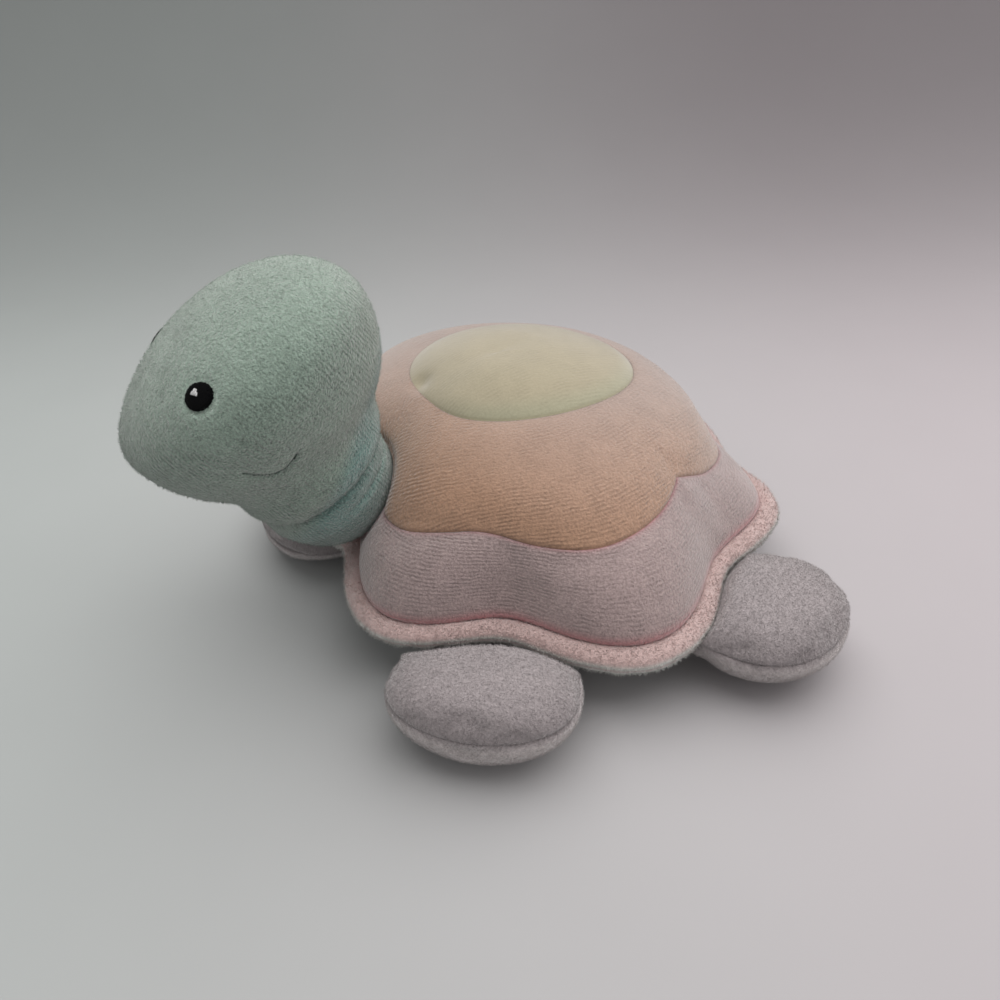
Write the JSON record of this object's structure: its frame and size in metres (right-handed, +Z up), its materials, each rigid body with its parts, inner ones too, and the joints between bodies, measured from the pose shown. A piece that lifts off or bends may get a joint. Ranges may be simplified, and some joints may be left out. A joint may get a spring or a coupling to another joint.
{
  "type": "plush turtle",
  "caption": "Stuffed velour turtle lying on its belly, with a scalloped pieced shell, padded rim, soft neck, nodding head and pillow flippers that flap.",
  "frame": {"origin": "middle of the shell on the surface that the belly lies on", "axes": "+Z up, -Y the way the head looks, +X the turtle's left"},
  "size_m": [0.2684, 0.2221, 0.129],
  "materials": {
    "lilac_velour": "velour pile",
    "peach_velour": "velour pile",
    "yellow_velour": "velour pile",
    "pink_velour": "velour pile",
    "pale_mint_velour": "velour pile",
    "mint_velour": "velour pile",
    "aqua_velour": "velour pile",
    "grey_lilac_velour": "velour pile",
    "fibre_filling": "loose fibre",
    "black_thread": "satin thread",
    "white_thread": "satin thread",
    "smile_thread": "matt thread"
  },
  "bodies": {
    "body": {"shell_oval_panel": "yellow_velour", "shell_patch_panel": "peach_velour", "shell_skirt_panel": "lilac_velour", "shell_rim_roll": "pink_velour", "belly_panel": "pale_mint_velour", "body_filling": "fibre_filling"},
    "neck": {"neck_cover": "aqua_velour", "neck_filling": "fibre_filling"},
    "head": {"head_cover": "mint_velour", "head_filling": "fibre_filling", "left_eye": "black_thread", "left_eye_glint": "white_thread", "left_smile_stitch": "smile_thread", "right_eye": "black_thread", "right_eye_glint": "white_thread", "right_smile_stitch": "smile_thread"},
    "left_front_flipper": {"left_front_flipper_upper_panel": "grey_lilac_velour", "left_front_flipper_lower_panel": "grey_lilac_velour", "left_front_flipper_filling": "fibre_filling"},
    "right_front_flipper": {"right_front_flipper_upper_panel": "grey_lilac_velour", "right_front_flipper_lower_panel": "grey_lilac_velour", "right_front_flipper_filling": "fibre_filling"},
    "left_rear_flipper": {"left_rear_flipper_upper_panel": "grey_lilac_velour", "left_rear_flipper_lower_panel": "grey_lilac_velour", "left_rear_flipper_filling": "fibre_filling"},
    "right_rear_flipper": {"right_rear_flipper_upper_panel": "grey_lilac_velour", "right_rear_flipper_lower_panel": "grey_lilac_velour", "right_rear_flipper_filling": "fibre_filling"}
  },
  "joints": [
    {"name": "neck_turn", "type": "hinge", "parent": "body", "child": "neck", "pos_m": [0, -0.0745, 0.066], "axis": [0, -0.5446, 0.8387], "range_deg": [-20, 20], "stiffness_Nm_per_rad": 1},
    {"name": "head_nod", "type": "hinge", "parent": "neck", "child": "head", "pos_m": [0, -0.0745, 0.066], "axis": [1, 0, 0], "range_deg": [-15, 20], "stiffness_Nm_per_rad": 1},
    {"name": "left_front_flap", "type": "hinge", "parent": "body", "child": "left_front_flipper", "pos_m": [0.06978, -0.04293, 0.0156], "axis": [-0.6947, -0.7193, 0], "range_deg": [-30, 5], "stiffness_Nm_per_rad": 0.05},
    {"name": "right_front_flap", "type": "hinge", "parent": "body", "child": "right_front_flipper", "pos_m": [-0.03798, -0.03961, 0.01052], "axis": [-0.9171, 0.3987, 0], "range_deg": [-15, 0], "stiffness_Nm_per_rad": 0.05},
    {"name": "left_rear_flap", "type": "hinge", "parent": "body", "child": "left_rear_flipper", "pos_m": [0.08878, 0.02613, 0.0156], "axis": [0.3746, -0.9272, 0], "range_deg": [-30, 5], "stiffness_Nm_per_rad": 0.05},
    {"name": "right_rear_flap", "type": "hinge", "parent": "body", "child": "right_rear_flipper", "pos_m": [-0.08878, 0.02613, 0.0156], "axis": [0.3746, 0.9272, 0], "range_deg": [-30, 5], "stiffness_Nm_per_rad": 0.05}
  ]
}
